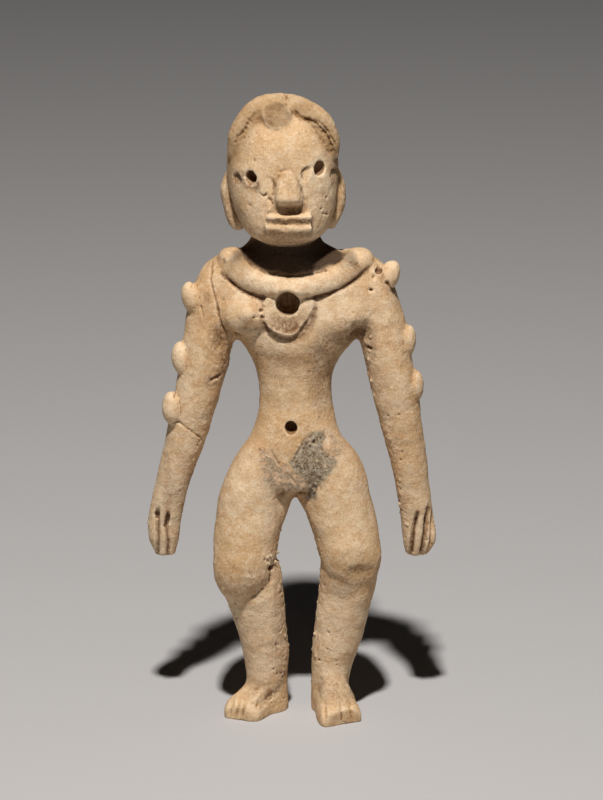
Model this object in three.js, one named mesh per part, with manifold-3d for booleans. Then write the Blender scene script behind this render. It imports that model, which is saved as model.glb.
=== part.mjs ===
// A standing female figurine of fired clay, made by hand as one piece.
// Rolled and pinched clay forms the body, and a collar, a pendant, a roll of hair, ears, lips and studs are pressed on.
// Millimetres, +Z up, the face towards -Y. The origin is on the ground, under the middle of the figure.

import * as THREE from 'three';
import { mergeVertices } from 'three/addons/utils/BufferGeometryUtils.js';
import Module from 'manifold-3d';

const wasm = await Module();
wasm.setup();

// Each row of a rolled piece is one ring: the x, y and z of its middle, its half width and its half depth.
// Left and right are the sides of someone who stands in front of the figure and looks at it.

// From inside the jaw, down the neck and the waist, to the ledge between the thighs.
const TORSO = [
  [-1.8, 0.8, 143, 9.0, 8.6],
  [-1.9, 1.2, 138.4, 9.6, 8.8],
  [-1.7, 1.4, 135.4, 12.0, 9.0],
  [-0.8, 1.3, 132, 17.0, 9.0],
  [0.2, 1.0, 126, 21.4, 9.2],
  [0.5, 0.4, 118, 20.6, 9.6],
  [1.2, 0.0, 110.5, 16.6, 9.2],
  [0.7, 0.2, 104.5, 12.3, 8.2],
  [0.6, 0.3, 98, 10.2, 7.5],
  [0.9, 0.3, 91.5, 10.2, 7.4],
  [0.9, 0.1, 85.5, 11.4, 8.0],
  [0.8, -0.1, 80, 13.6, 8.7],
  [0.9, -0.1, 75, 15.4, 9.0],
  [0.7, -0.2, 70.5, 12.6, 8.8],
  [-0.2, -0.4, 67.4, 7.0, 8.0],
];

// The thighs, from inside the belly to the rounded knee.
const LEFT_THIGH = [
  [-5.0, 0.2, 83, 6.0, 6.2],
  [-7.2, 0.5, 77, 7.8, 9.0],
  [-9.4, 0.8, 71, 9.0, 10.1],
  [-11.2, 0.5, 65, 9.4, 10.1],
  [-12.1, -0.5, 58, 9.5, 9.4],
  [-13.0, -1.3, 52, 9.2, 9.2],
  [-13.7, -2.2, 46, 8.8, 8.8],
  [-14.0, -2.8, 41.5, 8.2, 8.0],
  [-14.8, -2.8, 38, 6.4, 6.6],
  [-15.4, -2.6, 35.6, 4.2, 4.6],
];
const RIGHT_THIGH = [
  [6.8, 0.2, 83, 6.0, 6.2],
  [9.2, 0.5, 77, 8.0, 9.0],
  [11.2, 0.8, 71, 9.0, 10.1],
  [12.2, 0.5, 65, 9.4, 10.1],
  [13.4, -0.5, 59, 9.7, 9.4],
  [15.0, -1.3, 53, 9.2, 9.2],
  [16.1, -2.3, 47.5, 8.8, 8.8],
  [16.4, -2.8, 44, 8.0, 8.2],
  [17.2, -2.8, 41.6, 6.2, 6.6],
  [17.6, -2.6, 40.2, 4.0, 4.6],
];

// The shins, from inside the knee to below the ground, where the sole is cut flat.
const LEFT_SHIN = [
  [-11.4, -1.2, 48, 6.0, 6.4],
  [-11.7, -1.0, 42.5, 8.4, 7.2],
  [-11.7, -0.8, 37.6, 8.9, 7.2],
  [-10.4, 0.0, 32.6, 8.1, 7.0],
  [-8.9, 1.2, 24.5, 7.1, 6.6],
  [-7.7, 2.2, 17, 6.5, 6.2],
  [-7.4, 2.9, 10.5, 6.0, 6.0],
  [-7.2, 3.3, 4, 5.8, 5.8],
  [-7.2, 3.4, -2, 5.6, 5.6],
];
const RIGHT_SHIN = [
  [15.0, -1.2, 49, 6.6, 7.0],
  [15.6, -1.2, 42.5, 8.0, 7.6],
  [15.5, -0.9, 38.3, 8.2, 7.4],
  [14.3, 0.0, 31.5, 7.5, 7.0],
  [12.8, 1.2, 23, 7.1, 6.6],
  [11.3, 2.2, 15, 6.2, 6.2],
  [10.4, 2.9, 8, 5.3, 5.8],
  [10.3, 3.3, 3, 5.3, 5.6],
  [10.3, 3.4, -2, 5.2, 5.4],
];

// The feet, from heel to toes. The depth of a lying ring is measured up and down.
const LEFT_FOOT = [
  [-6.2, 6.8, 2.0, 4.6, 5.0],
  [-8.4, 3.0, 2.2, 5.2, 6.4],
  [-11.2, -1.0, 1.8, 5.7, 6.0],
  [-13.4, -4.2, 1.4, 5.9, 5.2],
  [-14.9, -6.8, 1.1, 5.5, 4.0],
  [-15.5, -8.1, 1.0, 3.9, 3.0],
];
const RIGHT_FOOT = [
  [9.9, 6.8, 2.0, 4.4, 5.0],
  [10.9, 3.0, 2.4, 5.3, 6.6],
  [12.0, -2.0, 2.0, 5.8, 6.6],
  [12.6, -6.6, 1.6, 6.0, 5.6],
  [13.4, -9.8, 1.3, 6.3, 4.4],
  [14.2, -11.7, 1.1, 5.9, 3.4],
];
// The low web of clay along the inner side of the left foot.
const LEFT_WEB = [
  [-3.2, 8.8, 0.5, 2.2, 5.5],
  [-4.4, 5.0, 0.5, 2.7, 4.2],
  [-6.8, 1.0, 0.4, 2.8, 2.9],
  [-9.4, -3.6, 0.3, 2.2, 2.2],
];

// The arms, from shoulder to fingertips.
const LEFT_ARM = [
  [-15.8, 1.4, 133.2, 5.0, 4.6],
  [-18.9, 1.2, 129, 6.6, 6.6],
  [-21.3, 0.6, 120, 7.6, 7.0],
  [-21.9, 0.4, 113.5, 8.1, 6.9],
  [-23.7, 0.2, 108, 7.1, 6.8],
  [-26.0, 0.2, 96.8, 6.6, 6.4],
  [-29.5, 1.4, 82.2, 5.8, 5.6],
  [-33.2, 3.0, 69.3, 5.0, 4.8],
  [-36.0, 4.6, 57.4, 4.7, 3.8],
  [-36.4, 5.2, 50.5, 4.3, 3.3],
  [-36.0, 5.4, 45.8, 2.8, 2.2],
];
const RIGHT_ARM = [
  [16.2, 1.4, 133.6, 5.0, 4.6],
  [19.6, 1.2, 129, 6.8, 6.6],
  [22.5, 0.6, 119.8, 7.2, 7.0],
  [23.7, 0.4, 114, 7.7, 6.9],
  [25.5, 0.2, 108.6, 6.8, 6.8],
  [27.9, 0.1, 96.9, 6.6, 6.4],
  [30.8, 0.9, 82.3, 5.7, 5.6],
  [33.2, 1.6, 69.7, 4.9, 4.8],
  [35.0, 2.4, 57.0, 4.7, 3.8],
  [35.5, 2.8, 50.1, 4.8, 3.3],
  [34.8, 3.0, 45.7, 3.0, 2.2],
];

// The head, from crown to chin.
const HEAD = [
  [-3.1, 2.2, 178.0, 2.4, 3.2],
  [-3.1, 1.8, 177.0, 5.8, 6.8],
  [-3.1, 1.2, 174.6, 9.8, 10.8],
  [-3.0, 0.4, 170, 13.0, 13.8],
  [-2.9, -0.2, 163, 15.0, 15.2],
  [-2.7, -0.7, 155, 15.2, 15.2],
  [-2.3, -1.6, 148, 14.0, 14.6],
  [-1.9, -3.2, 142, 11.3, 12.4],
  [-1.6, -4.6, 138.8, 6.8, 8.4],
];

// The roll of hair, from temple to temple over the brow, with a notch beside its middle.
const HAIR = [
  [-15.4, -5.2, 160.5, 1.2, 1.2],
  [-15.8, -6.2, 164.5, 2.1, 2.2],
  [-14.4, -7.2, 170, 2.7, 2.8],
  [-10.8, -7.0, 174.9, 3.0, 2.8],
  [-6.6, -6.2, 177.2, 2.9, 2.6],
  [-2.2, -5.6, 176.6, 2.5, 2.4],
  [2.2, -6.0, 176.2, 3.0, 2.8],
  [7.2, -7.0, 173.0, 3.0, 2.9],
  [10.2, -7.0, 168, 2.6, 2.6],
  [11.2, -5.8, 162.5, 1.4, 1.4],
];

// The lobes flattened against the sides of the head, from top to bottom.
const LEFT_EAR = [
  [-17.0, 1.8, 157.0, 1.2, 1.8],
  [-17.7, 1.4, 152.5, 2.2, 3.2],
  [-16.9, 0.8, 147.5, 2.4, 3.2],
  [-15.6, 0.0, 142.6, 2.1, 2.4],
  [-15.0, -0.2, 140.9, 1.2, 1.4],
];
const RIGHT_EAR = [
  [11.8, 1.8, 157.0, 1.2, 1.8],
  [12.4, 1.4, 151.8, 2.2, 3.2],
  [12.0, 0.8, 146.8, 2.2, 3.2],
  [10.8, 0.0, 142.8, 1.7, 2.3],
  [10.4, -0.2, 141.2, 1.0, 1.4],
];

// The nose, narrow at the bridge, broad and undercut at the tip.
const NOSE = [
  [-1.2, -14.0, 161.8, 1.4, 1.4],
  [-1.2, -14.6, 159.8, 2.1, 2.2],
  [-1.3, -15.0, 156.8, 3.0, 3.4],
  [-1.1, -15.2, 153.6, 3.8, 4.6],
  [-1.0, -14.6, 151.6, 4.0, 4.0],
  [-1.0, -14.2, 149.8, 3.9, 2.8],
];

// Each lip is a bar laid across the muzzle, from left to right. Its depth is measured from front to back.
const UPPER_LIP = [
  [-6.2, -14.6, 147.9, 0.9, 1.8],
  [-4.0, -15.4, 148.1, 1.2, 2.1],
  [-1.0, -15.8, 148.2, 1.3, 2.2],
  [2.4, -15.5, 148.2, 1.3, 2.1],
  [4.8, -14.6, 148.0, 1.0, 1.8],
];
const LOWER_LIP = [
  [-6.8, -13.4, 143.8, 2.0, 2.8],
  [-4.2, -14.0, 143.6, 2.3, 3.0],
  [-1.0, -14.2, 143.6, 2.4, 3.1],
  [2.4, -14.0, 143.6, 2.3, 3.0],
  [4.8, -13.4, 143.8, 2.0, 2.8],
];

// The collar is a closed strap: the front, the right shoulder, down over the nape, the left shoulder.
const COLLAR = [
  [-0.7, -9.3, 126.4, 2.4, 2.6],
  [7.4, -8.2, 127.5, 2.6, 2.8],
  [13.2, -5.6, 130.3, 3.2, 3.4],
  [16.8, -0.6, 132.6, 4.2, 3.6],
  [14.4, 6.4, 130.8, 3.2, 2.8],
  [0.0, 9.8, 129.0, 2.4, 2.6],
  [-14.4, 6.4, 130.6, 3.2, 2.8],
  [-16.8, -0.6, 132.2, 4.0, 3.6],
  [-13.6, -5.6, 130.1, 3.2, 3.4],
  [-8.4, -8.2, 127.5, 2.6, 2.8],
];

// Rounded masses: the middle, then the half sizes along x, y and z.
const MASSES = [
  [[-12.6, -6.4, 119.0], [7.4, 4.2, 6.8]], // left breast
  [[11.8, -6.2, 118.0], [7.8, 4.0, 7.0]], // right breast
  [[0.4, 1.6, 68.5], [6.4, 6.0, 5.2]], // fork of the legs
];

// Studs like coffee beans, down the outside of each arm: the middle, and how far each leans outwards at its top.
const STUD = { proud: 3.0, deep: 3.4, long: 4.9 };
const STUDS = [
  [[-27.6, -1.6, 121.6], -18],
  [[-30.6, -1.6, 104.4], -8],
  [[-33.4, -2.0, 90.2], -6],
  [[26.4, -1.6, 126.8], 26],
  [[31.2, -0.6, 109.0], 8],
  [[33.4, -0.8, 96.2], 6],
];

// Marks punched into the face: the mouth of the mark, the way the stick went in, its radius and depth.
const EYES = [
  [[-10.9, -12.6, 158.9], [0.15, 1, 0], 1.5, 2.6], // left pupil
  [[-14.6, -8.8, 157.8], [0.5, 1, 0], 1.1, 1.2], // left outer corner
  [[-6.2, -15.6, 158.8], [0.8, 1, -0.2], 1.5, 0.9], // left inner corner
  [[7.4, -12.0, 161.0], [-0.1, 1, 0], 1.6, 2.6], // right pupil
  [[10.9, -8.4, 158.2], [-0.5, 1, 0], 1.1, 1.2], // right outer corner
  [[4.6, -15.2, 160.6], [-0.8, 1, -0.2], 1.5, 1.6], // right inner corner
];
const NAVEL = [[0.2, -8.2, 84.9], [0, 1, 0.05], 1.9, 5];
const SCAR = { middle: [-4.2, -9.6, 174.6], radius: 3.9, rise: 38 }; // where an ornament has come off the brow
const NOTCH = { from: [-1.6, -14, 178.9], to: [-0.8, 12, 178.9], radius: 1.2 }; // the parting in the roll of hair

const PENDANT = { x: -1.2, top: 126, bottom: 112.6, half: 7.5, back: -6, front: -11.6, lean: 7 };
const SOCKET = [[-1.5, -11.2, 122.4], [0, 1, -0.1], 3.5, 7];

// Grooves drawn with a stick, from the knuckle to the tip, with the radius of the stick.
// Those between the toes turn down over the tip to the ground.
const FINGER_GROOVES = [
  [[-38.2, 1.1, 58.4], [-37.8, 3.1, 44.2], 0.7],
  [[-35.3, 0.6, 58.4], [-35.3, 3.0, 44.2], 0.7],
  [[33.6, -1.4, 58.6], [32.9, 0.7, 43.4], 0.7],
  [[37.2, -1.1, 58.0], [36.5, 0.8, 43.4], 0.7],
];
const TOE_GROOVES = [
  [[-16.1, -2.6, 6.4], [-17.8, -6.9, 4.3], [-17.9, -7.1, -0.5], 0.6],
  [[-14.5, -3.6, 6.9], [-16.3, -7.8, 4.6], [-16.4, -8.0, -0.5], 0.6],
  [[-12.8, -4.8, 6.9], [-14.9, -8.8, 4.5], [-15.0, -9.0, -0.5], 0.6],
  [[9.2, -5.6, 7.2], [9.8, -13.1, 4.3], [9.8, -13.5, -0.5], 0.8],
  [[12.5, -5.2, 8.1], [13.2, -12.0, 5.0], [13.3, -12.4, -0.5], 0.8],
  [[15.6, -4.8, 7.8], [16.5, -10.6, 4.9], [16.6, -11.0, -0.5], 0.8],
];

const CLAY = { color: 0xd3b489, roughness: 0.92, metalness: 0 };

const vector = (list) => new THREE.Vector3(...list);
const radians = THREE.MathUtils.degToRad;

// A closed geometry as a solid. Its faces are turned outwards first if they point inwards.
function solid(geometry) {
  const bare = geometry.clone();
  bare.deleteAttribute('normal');
  bare.deleteAttribute('uv');
  const merged = mergeVertices(bare, 1e-4);
  const vertProperties = Float32Array.from(merged.attributes.position.array);
  const corners = merged.index.array;
  const triVerts = [];
  for (let i = 0; i < corners.length; i += 3) {
    const [a, b, c] = corners.slice(i, i + 3);
    if (a !== b && b !== c && c !== a) triVerts.push(a, b, c);
  }
  const made = new wasm.Manifold(new wasm.Mesh({ numProp: 3, vertProperties, triVerts: Uint32Array.from(triVerts) }));
  if (made.volume() > 0) return made;
  return new wasm.Manifold(new wasm.Mesh({ numProp: 3, vertProperties, triVerts: Uint32Array.from(triVerts.reverse()) }));
}

// Rolled clay: rings laid through the stations with a smooth skin over them, and flat ends.
// The rings are level, or else square to the run of the piece, with their depth turned towards facing.
// A squareness of 2 gives ovals, and more gives rings with fuller corners.
function rolled(stations, { sides, rings, facing = null, closed = false, square = 2 }) {
  const curve = (points) => new THREE.CatmullRomCurve3(points, closed, 'catmullrom', 0.5);
  const place = curve(stations.map(([x, y, z]) => new THREE.Vector3(x, y, z)));
  const size = curve(stations.map(([, , , wide, deep]) => new THREE.Vector3(wide, deep, 0)));
  const full = (wave) => Math.sign(wave) * Math.abs(wave) ** (2 / square);
  const skin = closed
    ? new THREE.TorusGeometry(2, 1, sides, rings)
    : new THREE.SphereGeometry(1, sides, rings);
  const { position, uv } = skin.attributes;
  for (let i = 0; i < position.count; i++) {
    const row = Math.round((closed ? uv.getX(i) : 1 - uv.getY(i)) * rings);
    const pole = !closed && (row === 0 || row === rings);
    const along = closed ? (row % rings) / rings : THREE.MathUtils.clamp((row - 1) / (rings - 2), 0, 1);
    const turn = 2 * Math.PI * (closed ? uv.getY(i) : uv.getX(i));
    let across = new THREE.Vector3(1, 0, 0);
    let through = new THREE.Vector3(0, 1, 0);
    if (facing) {
      const run = place.getTangent(along);
      through = facing.clone().addScaledVector(run, -facing.dot(run)).normalize();
      across = run.clone().cross(through);
    }
    const point = place.getPoint(along);
    const { x: wide, y: deep } = size.getPoint(along);
    if (!pole) point.addScaledVector(across, wide * full(Math.cos(turn)));
    if (!pole) point.addScaledVector(through, deep * full(Math.sin(turn)));
    position.setXYZ(i, point.x, point.y, point.z);
  }
  return solid(skin);
}

function mass([[x, y, z], [halfX, halfY, halfZ]]) {
  return solid(new THREE.SphereGeometry(1, 12, 8).scale(halfX, halfY, halfZ).translate(x, y, z));
}

// A bean: a ball drawn out lengthwise, with narrower ends.
function stud([middle, lean]) {
  const ball = new THREE.SphereGeometry(1, 8, 6);
  const { position } = ball.attributes;
  for (let i = 0; i < position.count; i++) {
    const narrow = 1 - 0.2 * position.getY(i) ** 2;
    position.setX(i, position.getX(i) * narrow);
    position.setZ(i, position.getZ(i) * narrow);
  }
  ball.scale(STUD.proud, STUD.long, STUD.deep).rotateX(Math.PI / 2);
  return solid(ball.rotateY(radians(lean)).translate(...middle));
}

// A tongue of clay, straight above and half round below. It leans, so that its foot lies close to the chest.
function pendant() {
  const { x, top, bottom, half, back, front, lean } = PENDANT;
  const outline = new THREE.Shape();
  const waist = top - bottom - half;
  outline.moveTo(half, 0).lineTo(half, -waist);
  outline.absarc(0, -waist, half, 0, Math.PI, true);
  outline.lineTo(-half, 0).closePath();
  const edge = { bevelEnabled: true, bevelThickness: 1, bevelSize: 1, bevelOffset: -1, bevelSegments: 2 };
  const tongue = new THREE.ExtrudeGeometry(outline, { depth: back - front - 2, curveSegments: 10, ...edge });
  tongue.translate(0, 0, 1).rotateX(Math.PI / 2 + radians(lean));
  return solid(tongue.translate(x, back, top));
}

// A straight round rod between two points.
function rod(from, to, radius, sides = 12) {
  const [start, end] = [vector(from), vector(to)];
  const run = end.clone().sub(start);
  const made = new THREE.CylinderGeometry(radius, radius, run.length(), sides);
  made.applyQuaternion(new THREE.Quaternion().setFromUnitVectors(new THREE.Vector3(0, 1, 0), run.normalize()));
  return solid(made.translate(...start.add(end).multiplyScalar(0.5).toArray()));
}

// The hole left by a round stick pushed in at the mouth of the mark.
function punch([mouth, way, radius, depth], sides = 12) {
  const push = vector(way).setLength(1);
  const start = vector(mouth).addScaledVector(push, -6);
  const end = vector(mouth).addScaledVector(push, depth);
  return rod(start.toArray(), end.toArray(), radius, sides);
}

function figurine() {
  const front = new THREE.Vector3(0, -1, 0);
  const up = new THREE.Vector3(0, 0, 1);
  const scarWay = [0, Math.cos(radians(SCAR.rise)), -Math.sin(radians(SCAR.rise))];
  const seat = vector(SCAR.middle).addScaledVector(vector(scarWay), 6).toArray();
  const clay = [
    rolled(TORSO, { sides: 24, rings: 24 }),
    rolled(HEAD, { sides: 24, rings: 17, square: 2.15 }),
    ...[LEFT_THIGH, RIGHT_THIGH].map((thigh) => rolled(thigh, { sides: 16, rings: 14 })),
    ...[LEFT_SHIN, RIGHT_SHIN].map((shin) => rolled(shin, { sides: 14, rings: 12 })),
    ...[LEFT_FOOT, RIGHT_FOOT].map((foot) => rolled(foot, { sides: 12, rings: 9, facing: up, square: 2.5 })),
    rolled(LEFT_WEB, { sides: 10, rings: 7, facing: up, square: 2.5 }),
    ...[LEFT_ARM, RIGHT_ARM].map((arm) => rolled(arm, { sides: 12, rings: 17 })),
    ...[LEFT_EAR, RIGHT_EAR].map((ear) => rolled(ear, { sides: 8, rings: 8 })),
    rolled(HAIR, { sides: 8, rings: 22, facing: front }),
    rolled(COLLAR, { sides: 10, rings: 28, facing: up, closed: true, square: 2.3 }),
    rolled(NOSE, { sides: 12, rings: 9, square: 2.8 }),
    ...[UPPER_LIP, LOWER_LIP].map((lip) => rolled(lip, { sides: 10, rings: 8, facing: front, square: 3 })),
    ...MASSES.map(mass),
    ...STUDS.map(stud),
    rod(SCAR.middle, seat, SCAR.radius, 20),
    pendant(),
  ];
  const ground = new THREE.BoxGeometry(200, 200, 50).translate(0, 0, -25);
  const cuts = [
    solid(ground),
    punch([SCAR.middle, scarWay, SCAR.radius, 0], 20),
    rod(NOTCH.from, NOTCH.to, NOTCH.radius),
    ...EYES.map((mark) => punch(mark)),
    punch(NAVEL),
    punch(SOCKET, 16),
    ...FINGER_GROOVES.map(([from, to, radius]) => rod(from, to, radius, 6)),
    ...TOE_GROOVES.flatMap(([knuckle, tip, sole, radius]) => [rod(knuckle, tip, radius, 6), rod(tip, sole, radius, 6)]),
  ];
  const whole = clay.reduce((body, piece) => body.add(piece));
  return cuts.reduce((body, cut) => body.subtract(cut), whole);
}

// The solid as a mesh, moved so that the middle of its box stands over the origin.
function mesh(name, body) {
  const { numProp, numVert, vertProperties, triVerts } = body.getMesh();
  const points = new Float32Array(numVert * 3);
  for (let i = 0; i < numVert; i++) points.set(vertProperties.subarray(i * numProp, i * numProp + 3), i * 3);
  const geometry = new THREE.BufferGeometry()
    .setAttribute('position', new THREE.BufferAttribute(points, 3))
    .setIndex(new THREE.BufferAttribute(triVerts, 1));
  geometry.computeBoundingBox();
  const middle = geometry.boundingBox.getCenter(new THREE.Vector3());
  geometry.translate(-middle.x, -middle.y, 0);
  geometry.computeVertexNormals();
  const made = new THREE.Mesh(geometry, new THREE.MeshStandardMaterial(CLAY));
  made.name = name;
  return made;
}

const group = new THREE.Group();
group.add(mesh('figurine', figurine()));

export default group;
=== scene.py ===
import math

import bpy
import numpy as np
from mathutils import Matrix, Vector


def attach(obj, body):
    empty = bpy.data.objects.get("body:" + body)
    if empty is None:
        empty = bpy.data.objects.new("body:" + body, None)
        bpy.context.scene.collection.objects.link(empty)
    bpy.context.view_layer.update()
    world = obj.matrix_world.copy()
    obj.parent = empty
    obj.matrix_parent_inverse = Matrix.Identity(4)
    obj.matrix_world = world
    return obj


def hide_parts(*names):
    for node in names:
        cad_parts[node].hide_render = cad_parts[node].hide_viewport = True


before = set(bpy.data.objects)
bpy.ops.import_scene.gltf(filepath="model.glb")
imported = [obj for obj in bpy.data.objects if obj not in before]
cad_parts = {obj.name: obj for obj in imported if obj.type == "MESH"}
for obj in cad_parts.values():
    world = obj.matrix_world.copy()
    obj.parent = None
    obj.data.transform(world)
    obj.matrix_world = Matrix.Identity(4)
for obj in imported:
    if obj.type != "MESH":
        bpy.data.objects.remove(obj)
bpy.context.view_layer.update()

# The trunk: one thick roll of buff clay, drawn in at the waist and flared again to the shoulders.
# It runs from inside the jaw to the ledge between the thighs, and all else is pressed on to it.
# A station of a roll is x, y and z of its middle, then half its width and half its depth, all in mm.

MM = 0.001
OVER_ORIGIN = Vector((0.283, 2.376, 0)) * MM  # brings the middle of the finished clay over the origin
LEAST_TURN = 1e-6  # radians
SEAM = 0.05  # mm between the two ends of a closed roll
soft_clay = []


def flow(rows, turns, closed=False):
    """Rings spaced evenly along the run of the stations, with an even curve through them."""
    rows = np.array(rows, float)
    count = len(rows)
    if closed:
        ends = np.vstack([rows[-1:], rows, rows[:2]])
    else:
        ends = np.vstack([2 * rows[:1] - rows[1:2], rows, 2 * rows[-1:] - rows[-2:-1]])
    spans = count if closed else count - 1
    rings = []
    for step in range(turns if closed else turns + 1):
        span, t = divmod(step * spans / turns, 1)
        if not closed and span == spans:
            span, t = spans - 1, 1.0
        a, b, c, d = ends[int(span):int(span) + 4]
        bend, swing = 2 * a - 5 * b + 4 * c - d, 3 * b - a - 3 * c + d
        rings.append(0.5 * (2 * b + (c - a) * t + bend * t * t + swing * t ** 3))
    return rings


def faced(rings, facing, closed=False):
    """How each ring is turned: level, or square to the run with its depth towards facing."""
    turned = []
    for n, ring in enumerate(rings):
        if facing is None:
            turned.append(Matrix.Identity(3))
            continue
        if closed:
            before, after = rings[n - 1], rings[(n + 1) % len(rings)]
        else:
            before, after = rings[max(n - 1, 0)], rings[min(n + 1, len(rings) - 1)]
        run = Vector(after[:3] - before[:3]).normalized()
        through = (Vector(facing) - run * run.dot(Vector(facing))).normalized()
        across = run.cross(through)
        turned.append(Matrix((across, through, across.cross(through))).transposed())
    return turned


def pick(*pieces):
    """Selects these pieces and nothing else, the first of them active."""
    bpy.ops.object.select_all(action='DESELECT')
    for piece in reversed(pieces):
        piece.select_set(True)
        bpy.context.view_layer.objects.active = piece


def edit(piece):
    """Takes a piece into edit mode with all of it selected."""
    pick(piece)
    bpy.ops.object.mode_set(mode='EDIT')
    bpy.ops.mesh.select_all(action='SELECT')


def done():
    bpy.ops.object.mode_set(mode='OBJECT')


def turn_ring(rotation, middle):
    """Turns the picked ring about its middle, one axis after another."""
    for axis, angle in zip('XYZ', rotation.to_euler('XYZ')):
        if abs(angle) > LEAST_TURN:
            bpy.ops.transform.rotate(value=-angle, orient_axis=axis, center_override=middle)


def roll_clay(name, stations, sides=24, turns=24, square=2, facing=None, closed=False):
    """Rolled clay: one ring is drawn and then pulled on, sized and turned through every station."""
    rings = flow(stations, turns, closed)
    turned = faced(rings, facing, closed)
    pick()
    bpy.ops.mesh.primitive_circle_add(vertices=sides, radius=1, fill_type='NGON')
    piece = bpy.context.object
    piece.name = name
    for corner in piece.data.vertices:
        corner.co.x = math.copysign(abs(corner.co.x) ** (2 / square), corner.co.x)
        corner.co.y = math.copysign(abs(corner.co.y) ** (2 / square), corner.co.y)
    edit(piece)
    middle, frame_now = Vector(), Matrix.Identity(3)
    wide, deep = 1.0, 1.0
    if closed:
        rings, turned = rings + rings[:1], turned + turned[:1]
    for n, (ring, aimed) in enumerate(zip(rings, turned)):
        if n:
            bpy.ops.mesh.extrude_region_move()
        place = Vector(ring[:3]) * MM + OVER_ORIGIN
        bpy.ops.transform.resize(value=(ring[3] * MM / wide, ring[4] * MM / deep, 1), orient_type='GLOBAL',
                                 orient_matrix=frame_now, orient_matrix_type='GLOBAL', center_override=middle)
        turn_ring(aimed @ frame_now.transposed(), middle)
        bpy.ops.transform.translate(value=place - middle)
        middle, frame_now = place, aimed
        wide, deep = ring[3] * MM, ring[4] * MM
    if closed:
        bpy.ops.mesh.select_all(action='DESELECT')
        bpy.ops.mesh.select_face_by_sides(number=sides)
        bpy.ops.mesh.delete(type='ONLY_FACE')
        bpy.ops.mesh.select_all(action='SELECT')
        bpy.ops.mesh.remove_doubles(threshold=SEAM * MM)
    bpy.ops.mesh.select_all(action='SELECT')
    bpy.ops.mesh.normals_make_consistent(inside=False)
    done()
    return piece


TRUNK = [
    (-1.8, 0.8, 143, 9, 8.6), (-1.9, 1.2, 138.4, 9.6, 8.8), (-1.7, 1.4, 135.4, 12, 9),
    (-0.6, 1.1, 132, 18.2, 9.2), (0.2, 1, 126, 21.4, 9.2), (0.5, 0.4, 118, 20.6, 9.6),
    (1.2, 0, 110.5, 16.6, 9.2), (0.7, 0.2, 104.5, 12.3, 8.2), (0.6, 0.3, 98, 10.2, 7.5),
    (0.9, 0.3, 91.5, 10.2, 7.4), (0.9, 0.1, 85.5, 11.4, 8), (0.8, -0.1, 80, 13.6, 8.7),
    (0.9, -0.1, 75, 15.4, 9), (0.7, -0.2, 70.5, 12.6, 8.8), (-0.2, -0.4, 67.4, 7, 8),
]
soft_clay.append(roll_clay('trunk', TRUNK, sides=40, turns=42))

# The legs: a tapering roll for each thigh, rounded off at the knee, laid over a second roll for the shin.
# The shin runs on below the ground, where the sole is pressed flat.

THIGHS = {
    'left_thigh': [
        (-5, 0.2, 83, 6, 6.2), (-7.2, 0.5, 77, 7.8, 9), (-9.4, 0.8, 71, 9, 10.1),
        (-11.2, 0.5, 65, 9.4, 10.1), (-12.1, -0.5, 58, 9.5, 9.4), (-13, -1.3, 52, 9.2, 9.2),
        (-13.7, -2.2, 46, 8.8, 8.8), (-14, -2.8, 41.5, 8.2, 8), (-14.8, -2.8, 38, 6.4, 6.6),
        (-15.4, -2.6, 35.6, 4.2, 4.6),
    ],
    'right_thigh': [
        (6.8, 0.2, 83, 6, 6.2), (9.2, 0.5, 77, 8, 9), (11.2, 0.8, 71, 9, 10.1), (12.2, 0.5, 65, 9.4, 10.1),
        (13.4, -0.5, 59, 9.7, 9.4), (15, -1.3, 53, 9.2, 9.2), (16.1, -2.3, 47.5, 8.8, 8.8),
        (16.4, -2.8, 44, 8, 8.2), (17.2, -2.8, 41.6, 6.2, 6.6), (17.6, -2.6, 40.2, 4, 4.6),
    ],
}
SHINS = {
    'left_shin': [
        (-11.4, -1.2, 48, 6, 6.4), (-11.7, -1, 42.5, 8.4, 7.2), (-11.7, -0.8, 37.6, 8.9, 7.2),
        (-10.4, -0.1, 32.6, 8.1, 7), (-8.9, 0.7, 24.5, 7.1, 6.6), (-7.7, 1.4, 17, 6.5, 6.2),
        (-7.4, 1.9, 10.5, 6, 6), (-7.2, 2.4, 4, 5.8, 5.8), (-7.2, 2.5, -2, 5.6, 5.6),
    ],
    'right_shin': [
        (15, -1.2, 49, 6.6, 7), (15.6, -1.2, 42.5, 8, 7.6), (15.5, -0.9, 38.3, 8.2, 7.4),
        (14.3, -0.1, 31.5, 7.5, 7), (12.8, 0.7, 23, 7.1, 6.6), (11.3, 1.4, 15, 6.2, 6.2),
        (10.4, 1.9, 8, 5.3, 5.8), (10.3, 2.4, 3, 5.3, 5.6), (10.3, 2.5, -2, 5.2, 5.4),
    ],
}
for name, stations in {**THIGHS, **SHINS}.items():
    soft_clay.append(roll_clay(name, stations, sides=32, turns=28))
FORK = {
    'fork': [
        (0.4, 1.6, 73.7, 1.5, 1.4), (0.4, 1.6, 71, 5.4, 5), (0.4, 1.6, 67, 6, 5.6), (0.4, 1.6, 64, 1.5, 1.4),
    ],
    'left_fork': [
        (-1.6, 1, 67.5, 1.4, 5), (-2.2, 0.8, 64, 2, 5.4), (-3.2, 0.6, 59, 1.6, 5), (-3.8, 0.5, 55, 0.8, 3),
    ],
    'right_fork': [
        (2.8, 1, 67.5, 1.4, 5), (3.4, 0.8, 64, 1.9, 5.4), (4.6, 0.6, 60, 1.4, 5), (5.8, 0.5, 56.5, 0.8, 3),
    ],
}
for name, stations in FORK.items():
    soft_clay.append(roll_clay(name, stations, turns=12))

# The feet: a flat pad of clay pulled forward from each ankle, broad at the toes, with a low web of clay
# left along the inner side of the left one. A lying roll's depth is measured up and down.

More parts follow.
